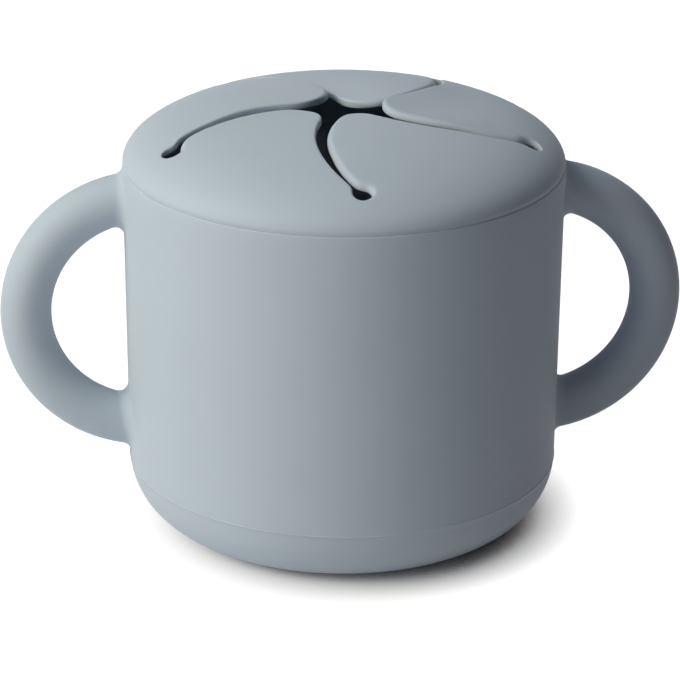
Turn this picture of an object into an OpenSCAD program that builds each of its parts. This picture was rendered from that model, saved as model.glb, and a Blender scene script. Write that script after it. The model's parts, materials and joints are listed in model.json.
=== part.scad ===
// Two-handled snack cup in soft silicone, with a push-in lid cut into five curved flaps.
// Millimetres. The cup stands on z = 0 with its axis on Z, and its handles lie along X.

/* [Cup] */
// Outer radius of the cup at its rim
rim_r = 44; // [40:0.5:50]
// How much smaller the side would be at z = 0, from the draft of its mould
draft = 0.65; // [0:0.05:1.5]
// Height of the rim, where the lid sits
rim_h = 75.1; // [70:0.1:90]
// Thickness of the side wall
wall = 2.4; // [1.8:0.1:3.2]
// Thickness of the floor
floor_t = 2.6; // [2:0.1:5]
// Radius of the round between the side and the foot
foot_round = 13.3; // [8:0.1:16]

/* [Handles] */
// Radius of the curve that the middle of each handle follows
handle_bend_r = 24.1; // [20:0.1:26]
// Radius of the handle's round section
grip_r = 5.1; // [4:0.1:6.5]
// How far the centre of that curve lies inside the rim radius
handle_inset = 4.3; // [2:0.1:8]
// How far the centre of that curve lies below the rim
handle_drop = 30.5; // [29:0.1:36]

/* [Lid] */
// Height of the dome above the rim
dome_h = 11.3; // [9:0.1:16]
// Flatness of the dome: 2 is an ellipse, and more is flatter on top
dome_pow = 2.5; // [2:0.05:3.5]
// Squareness of the dome's shoulder: 2 is an ellipse
shoulder_pow = 2; // [1.8:0.05:2.4]
// Thickness of the lid's skin
lid_t = 1.6; // [1.2:0.1:2]
// Depth of the skirt that plugs into the cup
skirt_depth = 6; // [4:0.5:10]
// Thickness of the skirt
skirt_t = 1.7; // [1.2:0.1:3]
// Clearance between the skirt and the inside of the cup
lid_clearance = 0.3; // [0.2:0.05:0.6]

/* [Flaps] */
// Radius of the curve of each slit
slit_bend_r = 29.5; // [27:0.5:34]
// Width of each slit
slit_gap = 1.2; // [1:0.1:2.2]
// Radius of the relief hole that ends each slit
relief_r = 1.85; // [1.2:0.1:2]
// Land between a relief hole and the inside of the skirt
relief_margin = 0.9; // [0.1:0.05:3]
// Radius of the round at the tip of each flap
tip_round = 6.5; // [3:0.1:7]
// Radius of the round edge on which each flap bends
root_r = 2.25; // [2.1:0.05:2.6]
// Clearance between that edge and the rest of the lid
root_gap = 0.3; // [0.2:0.05:0.6]
// Height of the bending line above the skin's lower face at the relief holes
root_rise = 1.8; // [1.7:0.05:1.9]

/* [Hidden] */
silicone = [0.60, 0.65, 0.69];
curve_steps = 16;
round_fn = 96;
grip_fn = 48;
// How far two spaces that are joined run into each other
merge = 0.05;
// How far cuts run past what they cut
over = 1;

flap_count = 5;
step = 360 / flap_count;
half_step = step / 2;
// Bearing of the first slit's end, which lies close to the front, midway between the handles
front = -91.1;
top_h = rim_h + dome_h;
// Longer than the lid is wide, for cuts that go right through it
reach = 3 * rim_r;

// Outer radius of the cup's side at height z
function side_r(z) = rim_r - draft * (1 - z / rim_h);
// The side's foot, as an arc of radius r about [x, z]
function foot_arc(x, z, r) =
    [for (i = [0:curve_steps]) let (a = -90 + 90 * i / curve_steps) [x + r * cos(a), z + r * sin(a)]];
inner_round = foot_round - wall;
foot_x = side_r(foot_round) - foot_round;

handle_x = rim_r - handle_inset;
handle_z = rim_h - handle_drop;

// Height of the dome at radius r, and its outline at angle t, for a face that lies skin inside it
function dome_z(r, skin) =
    rim_h + (dome_h - skin) * pow(1 - pow(r / (rim_r - skin), dome_pow), 1 / shoulder_pow);
function dome_point(t, skin) =
    [(rim_r - skin) * pow(cos(t), 2 / dome_pow), rim_h + (dome_h - skin) * pow(sin(t), 2 / shoulder_pow)];
skirt_foot = rim_h - skirt_depth;
skirt_out = side_r(skirt_foot) - wall - lid_clearance;
skirt_in = skirt_out - skirt_t;
skirt_angle = acos(pow(skirt_in / (rim_r - lid_t), dome_pow / 2));

slit_reach = skirt_in - relief_margin - relief_r;
half_chord = slit_reach * sin(half_step);
root_x = slit_reach * cos(half_step);
root_z = dome_z(slit_reach, lid_t) + root_rise;
root_half = half_chord - relief_r - root_gap;

// Each slit is an arc from the lid's axis to its relief hole. A flap lies inside the slit on its
// near side and outside the slit on its far side, and a round of radius tip_round joins the two.
slit_turn = acos(slit_reach / 2 / slit_bend_r);
near_slit = slit_bend_r * [cos(slit_turn - half_step), sin(slit_turn - half_step)];
far_slit = slit_bend_r * [cos(slit_turn + half_step), sin(slit_turn + half_step)];
near_r = slit_bend_r - slit_gap / 2;
far_r = slit_bend_r + slit_gap / 2;
span = norm(far_slit - near_slit);
along = (far_slit - near_slit) / span;
across = [-along[1], along[0]];
tip_along = (pow(span, 2) + pow(near_r - tip_round, 2) - pow(far_r + tip_round, 2)) / 2 / span;
tip_across = sqrt(pow(near_r - tip_round, 2) - pow(tip_along, 2));
tip = near_slit + tip_along * along + tip_across * across;
tip_near = tip + tip_round * (tip - near_slit) / (near_r - tip_round);
tip_far = tip + tip_round * (far_slit - tip) / (far_r + tip_round);

// The cup filled up to its rim
module cup_block() {
    rotate_extrude($fn = round_fn)
        polygon(concat([[0, 0]], foot_arc(foot_x, foot_round, foot_round), [[rim_r, rim_h], [0, rim_h]]));
}

module cup_hollow() {
    rotate_extrude($fn = round_fn)
        polygon(concat([[0, floor_t]], foot_arc(foot_x, floor_t + inner_round, inner_round),
                       [[rim_r - wall, rim_h], [rim_r - wall, rim_h + over], [0, rim_h + over]]));
}

module cup_body() {
    color(silicone) difference() {
        cup_block();
        cup_hollow();
    }
}

// A round grip bent in a half ring, with its ends shaped to the cup's side
module handle(side) {
    color(silicone) difference() {
        translate([side * handle_x, 0, handle_z])
            rotate([90, 0, 0])
                rotate_extrude($fn = round_fn)
                    translate([handle_bend_r, 0])
                        circle(r = grip_r, $fn = grip_fn);
        cup_block();
    }
}

// The whole lid before its flaps are cut: dome, land on the rim, and skirt
module lid_block() {
    outside = [for (i = [0:curve_steps]) dome_point(90 * i / curve_steps, 0)];
    inside = [for (i = [curve_steps:-1:0]) dome_point(skirt_angle + (90 - skirt_angle) * i / curve_steps, lid_t)];
    skirt = [[skirt_in, skirt_foot], [skirt_out, skirt_foot], [skirt_out, rim_h]];
    rotate_extrude($fn = round_fn)
        polygon(concat(outside, inside, skirt));
}

// An upright post through the lid, centred at a point of its plan
module post(at, r) {
    translate([at[0], at[1], 0])
        cylinder(r = r, h = top_h + over, $fn = round_fn);
}

// Sets its children at each flap in turn, with the flap's middle along X
module at_flap(n) {
    rotate([0, 0, front + half_step + step * n])
        children();
}

module root_pin(r, half_length) {
    translate([root_x, 0, root_z])
        rotate([90, 0, 0])
            cylinder(r = r, h = 2 * half_length, center = true, $fn = round_fn);
}

module lid_ring() {
    color(silicone) difference() {
        lid_block();
        rotate([0, 0, front])
            cylinder(r = slit_reach, h = top_h + over, $fn = flap_count);
        for (n = [0:flap_count - 1]) at_flap(n) {
            root_pin(root_r + root_gap, half_chord);
            post([root_x, half_chord], relief_r);
        }
    }
}

// One flap's space, from its bending line in to its rounded tip
module flap_space() {
    difference() {
        intersection() {
            post(near_slit, near_r);
            translate([root_x - reach, -reach / 2, 0]) cube([reach, reach, top_h + over]);
        }
        post(far_slit, far_r);
        post([root_x, -half_chord], relief_r);
        translate([tip_near[0], tip_near[1], 0])
            rotate([0, 0, atan2(tip_far[1] - tip_near[1], tip_far[0] - tip_near[0])])
                translate([-reach / 2, 0, -over]) cube([reach, reach, top_h + 2 * over]);
    }
    post(tip, tip_round);
    intersection() {
        root_pin(root_r, root_half);
        translate([root_x - merge, -root_half, 0]) cube([root_r + over, 2 * root_half, top_h]);
    }
}

module flap(number) {
    color(silicone) intersection() {
        lid_block();
        at_flap(number - 1) flap_space();
    }
}

cup_body();
handle(-1);  // left_handle
handle(1);  // right_handle
lid_ring();
flap(1);  // flap_1
flap(2);  // flap_2
flap(3);  // flap_3
flap(4);  // flap_4
flap(5);  // flap_5
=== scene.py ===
# %% [markdown]
# # A toddler's snack cup in soft silicone
#
# The object is a soft cup with two half-ring handles, and a domed lid that plugs into its rim.
# Five curved slits run from a star in the middle of the lid to five round relief holes, so the
# lid opens in five flaps that a small hand can push aside.
#
# Everything here is moulded silicone, so the work is in the shape: soft lips along the slits,
# a fine seam where lid and cup meet, and small fillets where each handle grows out of the side.
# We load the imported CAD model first. It gives the real sizes and the hinge of each flap.

# %% Load the frame
import json
import math

import bmesh
import bpy
from mathutils import Matrix, Vector
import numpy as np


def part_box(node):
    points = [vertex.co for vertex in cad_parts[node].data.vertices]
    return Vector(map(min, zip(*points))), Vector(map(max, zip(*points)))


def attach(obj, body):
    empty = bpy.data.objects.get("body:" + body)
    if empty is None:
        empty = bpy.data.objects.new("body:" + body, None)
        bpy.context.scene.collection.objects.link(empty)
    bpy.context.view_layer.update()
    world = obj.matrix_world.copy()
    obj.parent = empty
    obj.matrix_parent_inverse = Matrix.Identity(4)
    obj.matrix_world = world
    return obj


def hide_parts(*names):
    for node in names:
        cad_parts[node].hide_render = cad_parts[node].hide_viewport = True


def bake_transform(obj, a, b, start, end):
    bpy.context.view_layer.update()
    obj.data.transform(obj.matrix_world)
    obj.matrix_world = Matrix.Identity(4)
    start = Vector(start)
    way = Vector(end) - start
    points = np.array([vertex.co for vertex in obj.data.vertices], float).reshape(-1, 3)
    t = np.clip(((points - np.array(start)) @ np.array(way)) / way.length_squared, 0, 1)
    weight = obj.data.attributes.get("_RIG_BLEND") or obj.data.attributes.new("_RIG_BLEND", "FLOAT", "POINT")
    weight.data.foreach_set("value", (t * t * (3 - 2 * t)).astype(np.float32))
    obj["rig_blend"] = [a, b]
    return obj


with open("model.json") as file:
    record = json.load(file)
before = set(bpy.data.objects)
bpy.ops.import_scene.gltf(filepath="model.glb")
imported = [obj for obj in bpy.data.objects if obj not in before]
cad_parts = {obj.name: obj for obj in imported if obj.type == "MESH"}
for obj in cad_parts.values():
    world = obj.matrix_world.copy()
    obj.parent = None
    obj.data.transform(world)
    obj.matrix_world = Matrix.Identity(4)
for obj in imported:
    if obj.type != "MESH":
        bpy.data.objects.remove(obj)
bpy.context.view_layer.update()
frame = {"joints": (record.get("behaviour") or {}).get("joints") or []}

# %% [markdown]
# ## Driving sizes
#
# Meshes are shaped in millimetres, because bevels and fillets of half a millimetre are easier to
# read that way, and are scaled to metres when a piece is finished. What the CAD model knows is
# taken from it: the rim, the dome's height and the line on which the flaps bend.

# %% Sizes
MM = 0.001
rim_r = round(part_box("cup_body")[1][0] / MM, 2)
rim_h = round(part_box("cup_body")[1][2] / MM, 2)
lid_top = max(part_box(f"flap_{number}")[1][2] for number in range(1, 6)) / MM
dome_h = round(lid_top - rim_h, 1)

draft = 0.65          # how much slimmer the side would be at the floor
wall = 2.4            # thickness of the cup's side
floor_t = 2.6         # thickness of its floor
foot_round = 13.3     # round between side and foot
dome_flatness = 2.5   # 2 is an ellipse, and more is flatter on top
skin = 1.6            # thickness of the lid

flap_count = 5
step = 360 / flap_count
hinge = next(joint for joint in frame["joints"] if joint["name"] == "flap_1_bend")
root_x = math.hypot(hinge["pos_m"][0], hinge["pos_m"][1]) / MM
front = math.degrees(math.atan2(hinge["pos_m"][1], hinge["pos_m"][0])) - step / 2
slit_reach = root_x / math.cos(math.radians(step / 2))
relief_r = 1.85       # radius of each relief hole
print(f"rim radius {rim_r}, rim height {rim_h}, dome {dome_h}, slits reach {slit_reach:.2f} mm")
print(f"the first slit ends at {front:.1f} degrees")

# %% [markdown]
# ## Two formulas for the outside
#
# The side of the cup leans out a little towards the rim, as it must to leave its mould. The dome
# is a superellipse turned round the axis: nearly flat on top and quickly rounded at the shoulder.
# Everything that has to lie on one of these surfaces asks these functions where it is.

# %% Surface formulas
def side_r(z):
    """Outer radius of the cup's side at height z."""
    return rim_r - draft * (1 - z / rim_h)


def dome_z(r):
    """Height of the lid's outer face at radius r."""
    return rim_h + dome_h * math.sqrt(max(0.0, 1 - (r / rim_r) ** dome_flatness))


def dome_point(angle):
    """Radius and height on the lid's outer face, from 0 at the rim to 90 at the axis."""
    r = rim_r * max(0.0, math.cos(math.radians(angle))) ** (2 / dome_flatness)
    return r, rim_h + dome_h * math.sin(math.radians(angle))


def arc(centre, radius, start, end, stride):
    """Points along an arc in a plane, from one angle to the other, about stride degrees apart."""
    steps = max(1, round(abs(end - start) / stride))
    angles = [math.radians(start + (end - start) * i / steps) for i in range(steps + 1)]
    return [(centre[0] + radius * math.cos(a), centre[1] + radius * math.sin(a)) for a in angles]


print(f"side radius {side_r(0):.2f} mm at the table and {side_r(rim_h):.2f} mm at the rim")
print(f"the dome rises to {dome_z(0):.2f} mm on the axis")

# %% [markdown]
# ## Finishing a piece
#
# Each piece ends the same way: scale from millimetres, make the faces point outwards, shade
# smoothly but keep true corners sharp, then say which body it rides on and hide the CAD solids
# it stands for. A round piece is first spun from half of its section.

# %% Helpers for pieces
corner_angle = math.radians(38)   # sharper corners than this keep a crisp edge
merge_gap = 0.0005                # points nearer to each other than this are one point


def finish_piece(bm, name, nodes, body=None):
    """Turns a bmesh in millimetres into a finished object at the origin."""
    bmesh.ops.scale(bm, vec=(MM, MM, MM), verts=bm.verts)
    bmesh.ops.recalc_face_normals(bm, faces=bm.faces)
    mesh = bpy.data.meshes.new(name)
    bm.to_mesh(mesh)
    bm.free()
    mesh.shade_smooth()
    mesh.set_sharp_from_angle(angle=corner_angle)
    piece = bpy.data.objects.new(name, mesh)
    bpy.context.collection.objects.link(piece)
    if body:
        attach(piece, body)
    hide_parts(*nodes)
    print(f"{name}: {len(mesh.vertices)} vertices, {len(mesh.polygons)} faces")
    return piece


def turn_profile(outline, steps):
    """Spins an outline of (radius, height) points once round the Z axis into a closed skin."""
    bm = bmesh.new()
    rim = [bm.verts.new((r, 0, z)) for r, z in outline]
    edges = [bm.edges.new(pair) for pair in zip(rim, rim[1:])]
    if outline[0][0] > 0:
        edges.append(bm.edges.new((rim[-1], rim[0])))
    bmesh.ops.spin(bm, geom=rim + edges, cent=(0, 0, 0), axis=(0, 0, 1),
                   angle=math.tau, steps=steps, use_merge=True, use_duplicate=False)
    bmesh.ops.remove_doubles(bm, verts=bm.verts, dist=merge_gap)
    bmesh.ops.dissolve_degenerate(bm, edges=bm.edges, dist=merge_gap)
    return bm


# %% [markdown]
# ## The cup
#
# The real cup is one moulding. A turned profile is the natural way to make it: we draw half of
# its section as a closed outline, outside and inside, and spin it. A parting line of the mould
# runs round it just above the foot, a ledge less than a tenth of a millimetre wide, and the rim's
# outer edge is broken, so that it catches a fine line of light where the lid sits down on it.

# %% Cup shell
seam_round = 0.28     # broken outer edge of the rim
parting_h = 12.9      # height of the mould's parting line
parting_step = 0.09   # how far the foot stands proud below it
parting_fade = 0.08   # height over which that ledge rounds off downwards
side_start = 16       # height at which the plain side starts
side_spacing = 4      # distance between its points
turn_steps = 180      # faces round each turned piece


def cup_outline():
    """Half of the cup's section, from the middle of its foot round to the middle of its floor."""
    foot_x = side_r(foot_round) - foot_round
    outside = arc((foot_x, foot_round), foot_round, -90, -2.5, 5)
    ledge_steps = ((-parting_fade, 0.6 * parting_step), (0, parting_step), (parting_step, 0))
    ledge = [(side_r(parting_h + dz) + out, parting_h + dz) for dz, out in ledge_steps]
    side = [(side_r(z), z) for z in range(side_start, int(rim_h), side_spacing)]
    edge_h = rim_h - seam_round
    outer_edge = arc((rim_r - seam_round, edge_h), seam_round, 0, 90, 22.5)
    inner_edge = arc((rim_r - wall + seam_round, edge_h), seam_round, 90, 180, 30)
    inner_top = int(rim_h) - 3
    inner_side = [(side_r(z) - wall, z) for z in range(inner_top, side_start, -side_spacing)]
    inner_round = foot_round - wall
    inside = arc((foot_x, floor_t + inner_round), inner_round, 0, -90, 6)
    outer_half = [(0, 0)] + outside + ledge + side + outer_edge
    return outer_half + inner_edge + inner_side + inside + [(0, floor_t)]


cup_skin = turn_profile(cup_outline(), turn_steps)
cup_shell = finish_piece(cup_skin, "cup_shell", ["cup_body"], "cup")

# %% [markdown]
# ## The handles
#
# Each handle is a half ring with a round grip, moulded in one with the cup, so it meets the side
# in a small fillet and not in a hard line. We spin a circle round the ring's own axis, with
# coarse steps over the grip and fine ones at its two roots, and then push the skin of the roots
# outwards as it nears the side. Its buried end is laid just under that side, and stays below the
# rim's broken edge. That is quicker and cleaner than a boolean and a bevel.

# %% Handles
grip_r = 5.1          # radius of the round grip
bend_r = 24.1         # radius of the ring that its middle follows
handle_x = 39.7       # centre of that ring, from the axis
handle_z = 44.6       # and from the table
inner_fillet = 2.6    # round where the grip meets the side, inside the ring
outer_fillet = 1.5    # and outside it
root_start = 70       # angle from which the spin steps are fine
root_end = 83.2       # angle at which the grip ends, inside the wall
grip_segments = 48    # faces round the grip
grip_steps = 56       # coarse spin steps over the grip
root_steps = 44       # fine steps at each root
buried_share = 0.3    # how deep the buried end lies, as a share of its first depth


def flare(gap, fillet):
    """How far a fillet stands out from the grip, at a distance from the side."""
    depth = min(max(gap, 0.0), fillet)
    return fillet - math.sqrt(fillet ** 2 - (fillet - depth) ** 2) + max(-gap, 0.0) / 2


def grow_root(bm, side):
    """Pushes out the skin of the grip near the cup's side, and lays its end just under that side."""
    for vert in bm.verts:
        gap = math.hypot(vert.co.x, vert.co.y) - side_r(vert.co.z)
        spoke = Vector((vert.co.x - side * handle_x, 0, vert.co.z - handle_z)).normalized()
        middle = Vector((side * handle_x, 0, handle_z)) + bend_r * spoke
        out = (vert.co - middle).normalized()
        fillet = outer_fillet + (inner_fillet - outer_fillet) * (1 - out.dot(spoke)) / 2
        vert.co += flare(gap, fillet) * out
        vert.co.z = min(vert.co.z, rim_h - seam_round)
        if gap < fillet:
            radius = side_r(vert.co.z) + (gap if gap > 0 else buried_share * gap)
            share = radius / math.hypot(vert.co.x, vert.co.y)
            vert.co.x *= share
            vert.co.y *= share


def make_handle(name, node, side):
    """Spins one handle, on the left (-1) or on the right (1)."""
    bm = bmesh.new()
    bmesh.ops.create_circle(bm, segments=grip_segments, radius=grip_r, cap_ends=True,
                            matrix=Matrix.Translation((bend_r, 0, 0)))
    first_turn = Matrix.Rotation(math.radians(root_end), 3, "Y")
    bmesh.ops.rotate(bm, verts=bm.verts, cent=(0, 0, 0), matrix=first_turn)
    part = bm.verts[:] + bm.edges[:] + bm.faces[:]
    root = (root_end - root_start, root_steps)
    for angle, steps in (root, (2 * root_start, grip_steps), root):
        part = bmesh.ops.spin(bm, geom=part, cent=(0, 0, 0), axis=(0, -1, 0),
                              angle=math.radians(angle), steps=steps)["geom_last"]
    bmesh.ops.scale(bm, vec=(side, 1, 1), verts=bm.verts)
    bmesh.ops.translate(bm, vec=(side * handle_x, 0, handle_z), verts=bm.verts)
    grow_root(bm, side)
    return finish_piece(bm, name, [node], "cup")


left_grip = make_handle("left_grip", "left_handle", -1)
right_grip = make_handle("right_grip", "right_handle", 1)

# %% [markdown]
# ## The lid's shoulder, land and skirt
#
# Outside the relief holes the lid is round, so this part is turned like the cup. It runs from
# the dome over the shoulder to the land that sits on the rim, and down the skirt that plugs into
# the cup. It stops at a circle just outside the holes, where the flaps' own pieces begin. The
# first step beside that circle is very narrow, so that the shading doesn't show the join.

# %% Lid shoulder
join_r = 41.6         # circle on which the flaps' pieces meet this one
join_step = 0.15      # narrow first step beside it
skirt_depth = 6.0     # how far the skirt reaches down into the cup
skirt_play = 0.3      # room between it and the cup's side
skirt_t = 1.7         # its thickness
skirt_round = 0.5     # round of its lower edges
skirt_out = side_r(rim_h - skirt_depth) - wall - skirt_play
skirt_in = skirt_out - skirt_t
lid_edge = 0.06       # broken edge of the shoulder at the seam
lid_inset = 0.2       # how far inside the rim's outer edge it stands
land_clear = 0.6      # height above the seam at which the dome's own points stop


def under_z(r):
    """Height of the lid's inner face at radius r."""
    return rim_h + (dome_h - skin) * math.sqrt(max(0.0, 1 - (r / (rim_r - skin)) ** dome_flatness))


def shoulder_outline():
    """Half of the section, from the join over the shoulder, round the skirt and back to it."""
    dome = [(join_r, dome_z(join_r)), (join_r + join_step, dome_z(join_r + join_step))]
    dome += [point for point in (dome_point(angle) for angle in range(20, 0, -1))
             if point[0] > join_r + 2 * join_step and point[1] > rim_h + land_clear]
    edge = arc((rim_r - lid_inset - lid_edge, rim_h + lid_edge), lid_edge, 0, -90, 22.5)
    foot = rim_h - skirt_depth
    skirt = [(skirt_out, rim_h)]
    skirt += arc((skirt_out - skirt_round, foot + skirt_round), skirt_round, 0, -90, 30)
    skirt += arc((skirt_in + skirt_round, foot + skirt_round), skirt_round, -90, -180, 30)
    inner_faces = [(r, under_z(r)) for r in (skirt_in, (skirt_in + join_r) / 2, join_r)]
    return dome + edge + skirt + inner_faces


shoulder_skin = turn_profile(shoulder_outline(), turn_steps)
lid_shoulder = finish_piece(shoulder_skin, "lid_shoulder", ["lid_ring"], "lid")

# %% [markdown]
# ## The plan of a flap
#
# Seen from above, each slit follows an arc that passes through the lid's axis and ends in a round
# relief hole, so it pulls open without tearing. A flap lies inside the arc of the slit on its
# near side and outside the arc of the slit on its far side, and a round joins the two at its
# tip. The slits are narrow at the holes. Further in every flap rests a little differently, as on
# any soft lid that hands have been through: so each has its own gaps, tip and lift.

# %% How each flap rests
slit_bend = 29.5      # radius of each slit's arc
gap_hole = 1.15       # width of a slit where it leaves its hole
gap_ramp = 0.45       # share of the slit in which it opens to its full width
mouth_round = 2.4     # round where a slit opens into its hole
half_step = step / 2  # from the middle of a flap to its seams

# Per flap, from the front right one on: gap from its near slit's arc and from its far slit's
# arc, round of its tip, and how far its near and its far edge stand above the dome
flap_rest = [
    dict(near_gap=1.64, far_gap=-0.50, tip_round=4.7, near_lift=-0.35, far_lift=0.05),
    dict(near_gap=1.92, far_gap=1.85, tip_round=5.8, near_lift=0.86, far_lift=1.10),
    dict(near_gap=-0.30, far_gap=0.60, tip_round=7.2, near_lift=0.20, far_lift=-1.10),
    dict(near_gap=0.81, far_gap=-0.60, tip_round=8.0, near_lift=0.28, far_lift=0.46),
    dict(near_gap=1.19, far_gap=0.59, tip_round=7.1, near_lift=-0.37, far_lift=0.20),
]


def polar(radius, angle):
    """A point of the plan, from its distance and its direction in degrees."""
    return Vector((radius * math.cos(math.radians(angle)), radius * math.sin(math.radians(angle))))


slit_turn = math.degrees(math.acos(slit_reach / 2 / slit_bend))
near_hole, far_hole = polar(slit_reach, -half_step), polar(slit_reach, half_step)
near_slit, far_slit = polar(slit_bend, slit_turn - half_step), polar(slit_bend, slit_turn + half_step)
print(f"the arcs' centres lie {slit_turn:.1f} degrees on from their holes")

# %% Plan helpers
hole_stride = 13      # degrees between the points round a hole and its mouth
slit_stride = 1.7     # and along a slit
tip_stride = 7        # and round a tip
seam_turn = 3         # degrees from the seam to the first of these points


def bearing(centre, point):
    """Direction in degrees from a centre to a point."""
    return math.degrees(math.atan2(point[1] - centre[1], point[0] - centre[0]))


def meet(centre_a, radius_a, centre_b, radius_b, side):
    """The point at given distances from two centres, left (1) or right (-1) of the line a to b."""
    line = centre_b - centre_a
    along = (line.length ** 2 + radius_a ** 2 - radius_b ** 2) / (2 * line.length)
    off = math.sqrt(radius_a ** 2 - along ** 2)
    ahead = line.normalized()
    return centre_a + along * ahead + side * off * Vector((-ahead.y, ahead.x))


def sweep(centre, radius, first, last, sense, stride):
    """An arc from the bearing of one point to that of another; its radius may change on the way."""
    start = bearing(centre, first)
    turn = (bearing(centre, last) - start) * sense % 360
    steps = max(2, round(turn / stride))
    reach = radius if callable(radius) else lambda share: radius
    return [centre + polar(reach(i / steps), start + sense * turn * i / steps)
            for i in range(steps + 1)]


def ease(share):
    """A smooth step from 0 to 1."""
    share = min(max(share, 0.0), 1.0)
    return share * share * (3 - 2 * share)


def edge_gap(full, share):
    """Gap between a flap's edge and the arc of its slit, from 0 at the hole to 1 at the tip."""
    return gap_hole / 2 + (full - gap_hole / 2) * ease(share / gap_ramp)


# %% Plan of one flap
def far_side(rest, tip):
    """From the seam beyond the far hole, round that hole and along its slit to the tip."""
    edge_r = slit_bend + gap_hole / 2
    mouth = meet(far_slit, edge_r + mouth_round, far_hole, relief_r + mouth_round, -1)
    seam = far_hole + polar(relief_r, half_step)
    beside = far_hole + polar(relief_r, half_step - seam_turn)
    hole_end = far_hole + relief_r * (mouth - far_hole).normalized()
    slit_end = far_slit + edge_r * (mouth - far_slit).normalized()
    points = [seam]
    points += sweep(far_hole, relief_r, beside, hole_end, -1, hole_stride)
    points += sweep(mouth, mouth_round, hole_end, slit_end, 1, hole_stride)[1:]
    points += sweep(far_slit, lambda share: slit_bend + edge_gap(rest["far_gap"], share),
                    slit_end, tip, -1, slit_stride)[1:]
    return points


def near_side(rest, tip):
    """The same for the near side, from the seam beyond the near hole to the tip."""
    edge_r = slit_bend - gap_hole / 2
    mouth = meet(near_slit, edge_r - mouth_round, near_hole, relief_r + mouth_round, -1)
    seam = near_hole + polar(relief_r, -half_step)
    beside = near_hole + polar(relief_r, seam_turn - half_step)
    hole_end = near_hole + relief_r * (mouth - near_hole).normalized()
    slit_end = near_slit + edge_r * (mouth - near_slit).normalized()
    points = [seam]
    points += sweep(near_hole, relief_r, beside, hole_end, 1, hole_stride)
    points += sweep(mouth, mouth_round, hole_end, slit_end, -1, hole_stride)[1:]
    points += sweep(near_slit, lambda share: slit_bend - edge_gap(rest["near_gap"], share),
                    slit_end, tip, -1, slit_stride)[1:]
    return points


def flap_plan(rest):
    """Outline of a flap with its middle along X, from its far seam round its tip to its near seam."""
    tip_round = rest["tip_round"]
    tip = meet(near_slit, slit_bend - rest["near_gap"] - tip_round,
               far_slit, slit_bend + rest["far_gap"] + tip_round, 1)
    tip_far = tip + tip_round * (far_slit - tip).normalized()
    tip_near = tip + tip_round * (tip - near_slit).normalized()
    points = far_side(rest, tip_far)
    points += sweep(tip, tip_round, tip_far, tip_near, 1, tip_stride)[1:-1]
    return points + near_side(rest, tip_near)[::-1]


plans = [flap_plan(rest) for rest in flap_rest]
for number, plan in enumerate(plans, 1):
    tip_gap = min(point.length for point in plan)
    print(f"flap {number}: {len(plan)} points, tip {tip_gap:.2f} mm from the axis")

# %% [markdown]
# ## The flat skin of the flaps
#
# The five flaps and the land round their holes are one skin on the real lid. We draw that skin
# flat, as five copies of the plan that meet at seams beyond the holes, and inset it in small
# steps whose distances are stored on the points. The steps become the soft lips of the slits
# when the skin is lifted onto the dome, which a bevel on a curved edge would do less evenly.
# Straight cuts let the wide faces follow the dome. Soft holes are never quite true either, so at
# the end the skin round each one moves a little off the even star.

# %% Sizes of the lips
lip = 1.2             # radius of the lip on a flap's near side
far_lip = 0.4         # on its far side, where the edge is crisp
lip_change = (2, 6)   # how far from the far slit one becomes the other, round the tip
under_lip = 0.3       # radius underneath
lip_angles = (15, 30, 45, 60, 75, 90)
lip_steps = [lip * (1 - math.cos(math.radians(angle))) for angle in lip_angles]
print("lip steps", [round(distance, 3) for distance in lip_steps], "mm in from the edge")

# %% Drawing the flat skin
spare_r = 47          # outer edge of the skin while it is drawn; cut off again
rim_stride = 2        # degrees between the points of its outer arcs
seam_gap = 0.005      # points of neighbouring sectors nearer than this are joined


def draw_sector(bm, number):
    """One flap's plan as a face, with two strips outside it, in its place round the lid."""
    rim_arc = [polar(join_r - join_step, -half_step + rim_stride * i)
               for i in range(int(step / rim_stride) + 1)]
    verts = [bm.verts.new((x, y, 0)) for x, y in plans[number] + rim_arc]
    made = [bm.faces.new(verts)]
    rim = verts[-len(rim_arc):]
    edges = [edge for edge in made[0].edges if all(vert in rim for vert in edge.verts)]
    for radius in (join_r, spare_r):
        strip = bmesh.ops.extrude_edge_only(bm, edges=edges)["geom"]
        rim = [part for part in strip if isinstance(part, bmesh.types.BMVert)]
        edges = [part for part in strip if isinstance(part, bmesh.types.BMEdge)
                 and all(vert in rim for vert in part.verts)]
        made += [part for part in strip if isinstance(part, bmesh.types.BMFace)]
        share = radius / rim[0].co.length
        bmesh.ops.scale(bm, vec=(share, share, 1), verts=rim)
        verts += rim
    turn = Matrix.Rotation(math.radians(front + half_step + step * number), 3, "Z")
    bmesh.ops.rotate(bm, verts=verts, matrix=turn)
    for face in made:
        face.material_index = number


def draw_skin():
    """Five sectors, joined along the seams beyond the holes."""
    bm = bmesh.new()
    for number in range(flap_count):
        draw_sector(bm, number)
    bmesh.ops.remove_doubles(bm, verts=bm.verts, dist=seam_gap)
    bmesh.ops.recalc_face_normals(bm, faces=bm.faces)
    return bm


skin_bm = draw_skin()
print(f"drawn skin: {len(skin_bm.verts)} points, {len(skin_bm.faces)} faces")


# %% Stepping the lips
def step_lips(bm, inset_of):
    """Insets the skin's open edges in steps and stores each step's distance on its points."""
    inner = bm.faces[:]
    for vert in bm.verts:
        vert[inset_of] = 0.0 if vert.is_boundary else lip
    done = 0.0
    for distance in lip_steps:
        bmesh.ops.inset_region(bm, faces=inner, thickness=distance - done, use_boundary=True,
                               use_even_offset=True)
        kept = set(inner)
        for edge in bm.edges:
            if len({face in kept for face in edge.link_faces}) == 2:
                for vert in edge.verts:
                    vert[inset_of] = distance
        done = distance
    return inner


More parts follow.
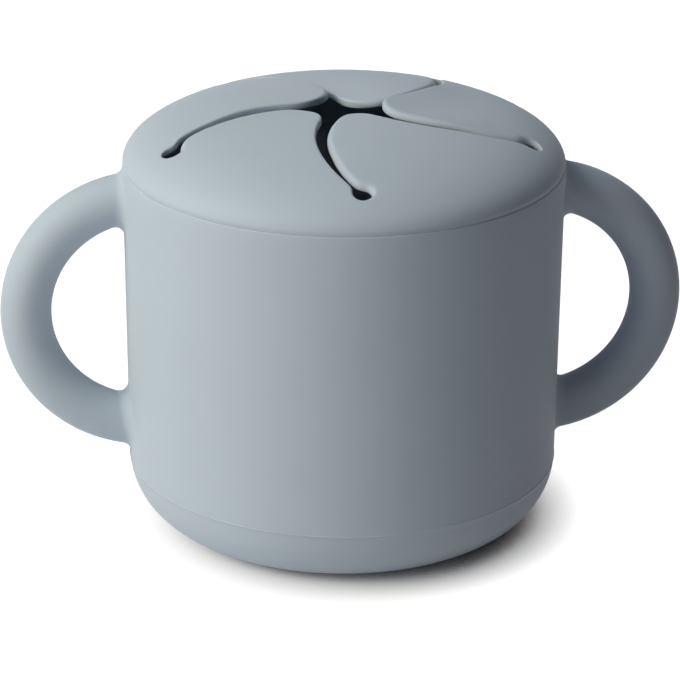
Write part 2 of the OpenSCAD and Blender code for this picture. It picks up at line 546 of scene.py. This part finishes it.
many_sides = 20       # the faces inside the last step have more sides than this
inset_of = skin_bm.verts.layers.float.new("inset")
inner = [face for face in step_lips(skin_bm, inset_of) if len(face.verts) > many_sides]
spare = [face for face in skin_bm.faces if face.calc_center_median().xy.length > join_r]
bmesh.ops.delete(skin_bm, geom=spare, context="FACES")
print(f"{len(inner)} wide faces left inside the lips")

# %% Cutting the wide faces
slice_width = 2.0     # spacing of the cuts
slice_reach = 21      # cuts on each side of the middle
slice_offset = 0.07   # keeps them off the skin's own points, as a share of the spacing
cut_gap = 0.001       # points nearer than this to a cut lie on it


def slice_faces(bm, faces, point, normal):
    """Cuts only these faces along a plane and returns them with their new halves."""
    part = {part for face in faces for part in (face, *face.edges, *face.verts)}
    cut = bmesh.ops.bisect_plane(bm, geom=list(part), plane_co=point, plane_no=normal, dist=cut_gap)
    return [part for part in cut["geom"] if isinstance(part, bmesh.types.BMFace)]


for number in range(-slice_reach, slice_reach + 1):
    offset = (number + slice_offset) * slice_width
    inner = slice_faces(skin_bm, inner, (offset, 0, 0), (1, 0, 0))
    inner = slice_faces(skin_bm, inner, (0, offset, 0), (0, 1, 0))
for number in range(flap_count):
    seam = polar(1, front + step * number)
    beside = Vector((-seam.y, seam.x, 0))
    outer = [face for face in inner if face.calc_center_median().xy.dot(seam) > slit_reach]
    for off in (-join_step, join_step):
        outer = slice_faces(skin_bm, outer, off * beside, beside)
print(f"cut skin: {len(skin_bm.verts)} points, {len(skin_bm.faces)} faces")

# %% Moving the holes
shift_width = 2.8     # how far beyond a hole's edge the skin moves with it

# How far each hole sits from its even place, outwards and round the lid, from the front hole on
hole_shift = [(0.4, 0.2), (0.85, 0.1), (0, 0), (0, 0), (-0.1, 0.8)]


def shift_holes(bm):
    """Moves each hole, with the skin round it, a little off its even place."""
    for number, (out, around) in enumerate(hole_shift):
        angle = front + step * number
        hole = polar(slit_reach, angle)
        move = polar(out, angle) + polar(around, angle + 90)
        for vert in bm.verts:
            beyond = max(0.0, (vert.co.xy - hole).length - relief_r)
            share = ease(1 - beyond / shift_width)
            vert.co.x += share * move.x
            vert.co.y += share * move.y


shift_holes(skin_bm)
print("holes moved outwards and round by", hole_shift, "mm")

# %% [markdown]
# ## The flaps
#
# Now the flat skin is divided, thickened and lifted. Each flap is a piece of its own, so that it
# can bend by itself; the seams lie beyond the holes, so no slit is crossed. Extruding gives it an
# underside and walls at once, and every point then moves up to the dome's outer or inner face,
# less the round of the lip that belongs to its step. The flap follows the lid outside its bending
# line and turns with its own body further in, so the skin curves there as silicone does.

# %% Rounds and lifts of the flaps
lift_width = 7.0      # how far in from its edge a flap's lift is felt
lift_start = 4        # how far inside the holes a flap starts to lift
lift_run = 14         # and over what distance it reaches its full lift


def round_drop(distance, radius):
    """How far a rounded edge has dropped at a distance from its outline."""
    left = max(0.0, radius - distance)
    return radius - math.sqrt(radius ** 2 - left ** 2)


def on_plan(number, place):
    """A place of the lid, as a point of the flap's own plan with its middle along X."""
    point = place.copy()
    point.rotate(Matrix.Rotation(-math.radians(front + step * (number - 0.5)), 2))
    return point


def lip_radius(point):
    """Radius of the top lip that a point of the plan belongs to."""
    from_far = (point - far_slit).length - slit_bend
    start, end = lip_change
    soft = ease((from_far - start) / (end - start))
    from_hole = point - near_hole
    seamward = from_hole.normalized().dot(polar(1, -half_step))
    by_hole = ease((relief_r + 2 * lip - from_hole.length) / lip)
    return far_lip + (lip - far_lip) * soft * (1 - by_hole * (1 - ease(1 - seamward)))


def rest_lift(rest, point):
    """How far a flap stands above the dome at a point of its plan; nothing near its bending line."""
    from_near = (slit_bend - (point - near_slit).length) / lift_width
    from_far = ((point - far_slit).length - slit_bend) / lift_width
    free = ease((slit_reach - lift_start - point.length) / lift_run)
    near = rest["near_lift"] * math.exp(-from_near ** 2)
    far = rest["far_lift"] * math.exp(-from_far ** 2)
    return free * (near + far)


print(f"a lip of {lip} mm drops {round_drop(lip_steps[0], lip):.2f} mm at its first step")

# %% Flap pieces
bend_start = root_x + 1.2     # the skin starts to bend just outside the holes' centres
bend_end = root_x - 5.0       # and has turned fully here


def make_flap(number):
    """One flap, cut from the skin, thickened and lifted onto the dome."""
    body = f"flap_{number}"
    bm = skin_bm.copy()
    inset_of = bm.verts.layers.float["inset"]
    others = [face for face in bm.faces if face.material_index != number - 1]
    bmesh.ops.delete(bm, geom=others, context="FACES")
    for face in bm.faces:
        face.material_index = 0
    top = bm.verts[:]
    lower = bmesh.ops.extrude_face_region(bm, geom=bm.faces[:], use_keep_orig=True)["geom"]
    for vert in [part for part in lower if isinstance(part, bmesh.types.BMVert)]:
        vert.co.z = under_z(vert.co.xy.length) + round_drop(vert[inset_of], under_lip)
    for vert in top:
        drop = round_drop(vert[inset_of], lip_radius(on_plan(number, vert.co.xy)))
        vert.co.z = dome_z(vert.co.xy.length) - drop
    for vert in bm.verts:
        vert.co.z += rest_lift(flap_rest[number - 1], on_plan(number, vert.co.xy))
    piece = finish_piece(bm, f"{body}_skin", [body])
    out = polar(MM, front + step * (number - 0.5))
    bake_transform(piece, "lid", body, start=(*(out * bend_start), 0), end=(*(out * bend_end), 0))
    return piece


flaps = [make_flap(number) for number in range(1, flap_count + 1)]
skin_bm.free()

# %% [markdown]
# ## Matte silicone
#
# Moulded silicone is soft and slightly dusty to the eye: no clear highlight, a faint sheen at
# grazing angles, and a colour that is not perfectly even. A fine bump gives it the grain of its
# mould. All of it reads Object coordinates, so the grain stays on the piece when it moves. Cup
# and lid come out of two moulds, so each gets a material of its own in the same colour.

# %% Silicone material
cup_colour = (0.51, 0.57, 0.66, 1)


def make_silicone(name, colour):
    """A matte moulded silicone with a slightly uneven colour and a fine grain."""
    material = bpy.data.materials.new(name)
    material.use_nodes = True
    nodes, links = material.node_tree.nodes, material.node_tree.links
    shader = nodes["Principled BSDF"]
    shader.inputs["Roughness"].default_value = 0.62
    shader.inputs["Specular IOR Level"].default_value = 0.3
    shader.inputs["Sheen Weight"].default_value = 0.05
    place = nodes.new("ShaderNodeTexCoord")
    cloud = nodes.new("ShaderNodeTexNoise")
    cloud.inputs["Scale"].default_value = 45
    cloud.inputs["Detail"].default_value = 3
    tint = nodes.new("ShaderNodeMapRange")
    tint.inputs["To Min"].default_value = 0.97
    tint.inputs["To Max"].default_value = 1.03
    shade = nodes.new("ShaderNodeMix")
    shade.data_type = "RGBA"
    shade.blend_type = "MULTIPLY"
    shade.inputs["Factor"].default_value = 1
    shade.inputs["A"].default_value = colour
    grain = nodes.new("ShaderNodeTexNoise")
    grain.inputs["Scale"].default_value = 2200
    grain.inputs["Detail"].default_value = 2
    bump = nodes.new("ShaderNodeBump")
    bump.inputs["Strength"].default_value = 0.12
    bump.inputs["Distance"].default_value = 0.0001
    links.new(place.outputs["Object"], cloud.inputs["Vector"])
    links.new(place.outputs["Object"], grain.inputs["Vector"])
    links.new(cloud.outputs["Fac"], tint.inputs["Value"])
    links.new(tint.outputs["Result"], shade.inputs["B"])
    links.new(shade.outputs["Result"], shader.inputs["Base Color"])
    links.new(grain.outputs["Fac"], bump.inputs["Height"])
    links.new(bump.outputs["Normal"], shader.inputs["Normal"])
    return material


cup_silicone = make_silicone("cup silicone", cup_colour)
lid_silicone = make_silicone("lid silicone", cup_colour)
for piece in (cup_shell, left_grip, right_grip):
    piece.data.materials.append(cup_silicone)
for piece in (lid_shoulder, *flaps):
    piece.data.materials.append(lid_silicone)
print("silicone on", [piece.name for piece in (cup_shell, left_grip, right_grip, lid_shoulder, *flaps)])

# %% [markdown]
# ## The floor
#
# The cup stands on a plain white floor. One large face is enough for it, as its edges lie far
# outside the view. It isn't part of the object.

# %% Floor plane
floor_reach = 6       # metres from the middle to its edges

floor_bm = bmesh.new()
bmesh.ops.create_grid(floor_bm, x_segments=1, y_segments=1, size=floor_reach)
floor_mesh = bpy.data.meshes.new("floor")
floor_bm.to_mesh(floor_mesh)
floor_bm.free()
floor = bpy.data.objects.new("floor", floor_mesh)
bpy.context.collection.objects.link(floor)
print(f"floor: {2 * floor_reach} m wide")

# %% [markdown]
# ## A white background that keeps the lamps' shadow, with a painted shadow near the cup
#
# A floor that is only lit would turn grey away from the lamps, and stronger lamps would bleach
# the cup. So the floor and the world are white of themselves, but only for the rays that show
# the background: from the camera, off a gloss or through glass. All other rays meet plain paint
# and a faint fill, and light the cup as a real room does.


# %% Background rays
def seen_directly(nodes, links):
    """1 for rays that show the background: from the camera, or off a gloss, or through glass."""
    path = nodes.new("ShaderNodeLightPath")
    gloss = nodes.new("ShaderNodeMath")
    gloss.operation = "MAXIMUM"
    either = nodes.new("ShaderNodeMath")
    either.operation = "MAXIMUM"
    links.new(path.outputs["Is Glossy Ray"], gloss.inputs[0])
    links.new(path.outputs["Is Transmission Ray"], gloss.inputs[1])
    links.new(path.outputs["Is Camera Ray"], either.inputs[0])
    links.new(gloss.outputs[0], either.inputs[1])
    return either.outputs[0]


# %% [markdown]
# ## Floor paint
#
# Two matte paints are mixed with a glow. The first is what the cup is lit by: white on the left,
# and greyer on the right, a painted shade that stands for less light on that side of the floor,
# so that the shaded side of the cup gets less light back. The second is what is seen, and carries
# the lamps' own soft shadow. The glow makes it white, and fades where the cup stands close above
# the floor, which paints a soft shadow there. Ambient occlusion measures that: it asks how much
# of the space round a point is open. The direction it looks in leans towards the lamps, so the
# painted dark patch lies on the other side.

# %% Floor paint
paint_left = (0.88, 0.86, 0.89, 1)
# greyer on the right: a painted shade that stands for less light on that side of the floor
painted_shade_right = (0.50, 0.48, 0.51, 1)
paint_change = (-0.03, 0.13)      # where one turns into the other, in metres along X
seen_paint = (0.25, 0.25, 0.26, 1)
# the glow fades near the cup, which paints a soft shadow on the floor
shade_reach = 0.010               # how near the cup must be to shade the floor
shade_lean = (-0.57, 0.36, 0.74)  # towards the lamps
shade_range = (0.21, 0.96)        # open space at which the glow starts, and is full
shade_samples = 16

floor_paint = bpy.data.materials.new("white floor")
floor_paint.use_nodes = True
nodes, links = floor_paint.node_tree.nodes, floor_paint.node_tree.links
nodes.remove(nodes["Principled BSDF"])
matte = nodes.new("ShaderNodeBsdfDiffuse")
place = nodes.new("ShaderNodeTexCoord")
across = nodes.new("ShaderNodeSeparateXYZ")
rightward = nodes.new("ShaderNodeMapRange")
rightward.inputs["From Min"].default_value, rightward.inputs["From Max"].default_value = paint_change
paint = nodes.new("ShaderNodeMix")
paint.data_type = "RGBA"
paint.inputs["A"].default_value = paint_left
paint.inputs["B"].default_value = painted_shade_right
links.new(place.outputs["Object"], across.inputs["Vector"])
links.new(across.outputs["X"], rightward.inputs["Value"])
links.new(rightward.outputs["Result"], paint.inputs["Factor"])
links.new(paint.outputs["Result"], matte.inputs["Color"])

# %% Floor shade
# ambient occlusion dims the glow near the cup: a painted shadow
nearby = nodes.new("ShaderNodeAmbientOcclusion")
nearby.samples = shade_samples
nearby.inputs["Distance"].default_value = shade_reach
lean = nodes.new("ShaderNodeCombineXYZ")
for axis, value in zip("XYZ", shade_lean):
    lean.inputs[axis].default_value = value
shadow = nodes.new("ShaderNodeMapRange")
shadow.inputs["From Min"].default_value, shadow.inputs["From Max"].default_value = shade_range
soften = nodes.new("ShaderNodeMath")
soften.operation = "SQRT"
seen_matte = nodes.new("ShaderNodeBsdfDiffuse")
seen_matte.inputs["Color"].default_value = seen_paint
glow = nodes.new("ShaderNodeEmission")
both = nodes.new("ShaderNodeAddShader")
choose = nodes.new("ShaderNodeMixShader")
links.new(lean.outputs["Vector"], nearby.inputs["Normal"])
links.new(nearby.outputs["AO"], shadow.inputs["Value"])
links.new(shadow.outputs["Result"], soften.inputs[0])
links.new(soften.outputs[0], glow.inputs["Strength"])
links.new(seen_matte.outputs[0], both.inputs[0])
links.new(glow.outputs[0], both.inputs[1])
links.new(seen_directly(nodes, links), choose.inputs["Fac"])
links.new(matte.outputs[0], choose.inputs[1])
links.new(both.outputs[0], choose.inputs[2])
links.new(choose.outputs[0], nodes["Material Output"].inputs["Surface"])
floor_mesh.materials.append(floor_paint)
print(f"floor shade: felt {shade_reach / MM:.0f} mm from the cup")

# %% [markdown]
# ## The room
#
# The world does two things: it fills the shadows faintly and evenly, and it is pure white where
# it is seen, as the floor is.

# %% World
fill_strength = 0.055

world = bpy.data.worlds.new("studio")
bpy.context.scene.world = world
world.use_nodes = True
nodes, links = world.node_tree.nodes, world.node_tree.links
fill = nodes["Background"]
fill.inputs["Color"].default_value = (1, 0.95, 1, 1)
fill.inputs["Strength"].default_value = fill_strength
white = nodes.new("ShaderNodeBackground")
white.inputs["Color"].default_value = (1, 1, 1, 1)
choose = nodes.new("ShaderNodeMixShader")
links.new(seen_directly(nodes, links), choose.inputs["Fac"])
links.new(fill.outputs[0], choose.inputs[1])
links.new(white.outputs[0], choose.inputs[2])
links.new(choose.outputs[0], nodes["World Output"].inputs["Surface"])
print(f"world: fill of {fill_strength}")

# %% [markdown]
# ## Lights
#
# Three large soft discs, all on the left, so the side turns from light to dark without a hard
# line. The key does most of the work and is a little warm. A cool one, high at the back left,
# lifts the lid, and a cool low one at the front left opens the shade below.

# %% Lights
lamp_distance = 1.2   # metres from the cup
lamp_size = 0.8       # metres across
lamp_aim = Vector((0, 0, 0.045))


def add_softbox(name, azimuth, elevation, distance, size, energy, colour=(1, 1, 1)):
    """A round area light that faces the cup from an azimuth counted from +X."""
    light = bpy.data.lights.new(name, "AREA")
    light.shape = "DISK"
    light.size = size
    light.energy = energy
    light.color = colour
    lamp = bpy.data.objects.new(name, light)
    bpy.context.collection.objects.link(lamp)
    a, e = math.radians(azimuth), math.radians(elevation)
    away = Vector((math.cos(a) * math.cos(e), math.sin(a) * math.cos(e), math.sin(e)))
    lamp.location = lamp_aim + distance * away
    lamp.rotation_euler = away.to_track_quat("Z", "Y").to_euler()
    print(f"{name}: {energy} W from azimuth {azimuth}, elevation {elevation}")
    return lamp


add_softbox("key", 198, 38, lamp_distance, lamp_size, 10.5, (1, 0.94, 0.74))
add_softbox("top", 160, 65, lamp_distance, lamp_size, 3.0, (0.52, 0.79, 1))
add_softbox("side", 220, 12, lamp_distance, lamp_size, 1.8, (0.50, 0.80, 1))

# %% [markdown]
# ## Camera
#
# A long lens from a little above shows the side, the lid and both handles at once, and keeps the
# cup's upright edges nearly parallel. The camera is aimed at the middle of the cup and rolled by
# a fraction of a degree.

# %% Camera
camera_place = Vector((-68.28, -630.02, 297.55)) * MM
camera_aim = Vector((-0.558, 0.060, 36.332)) * MM
camera_roll = math.radians(0.378)
lens = bpy.data.cameras.new("camera")
lens.lens = 178.82
lens.sensor_width = 36
camera = bpy.data.objects.new("camera", lens)
bpy.context.collection.objects.link(camera)
look = (camera_aim - camera_place).to_track_quat("-Z", "Y").to_matrix()
turn = look @ Matrix.Rotation(camera_roll, 3, "Z")
camera.matrix_world = Matrix.Translation(camera_place) @ turn.to_4x4()
bpy.context.scene.camera = camera
bpy.context.scene.view_settings.view_transform = "Standard"
print(f"camera {(camera_aim - camera_place).length:.3f} m from its aim")
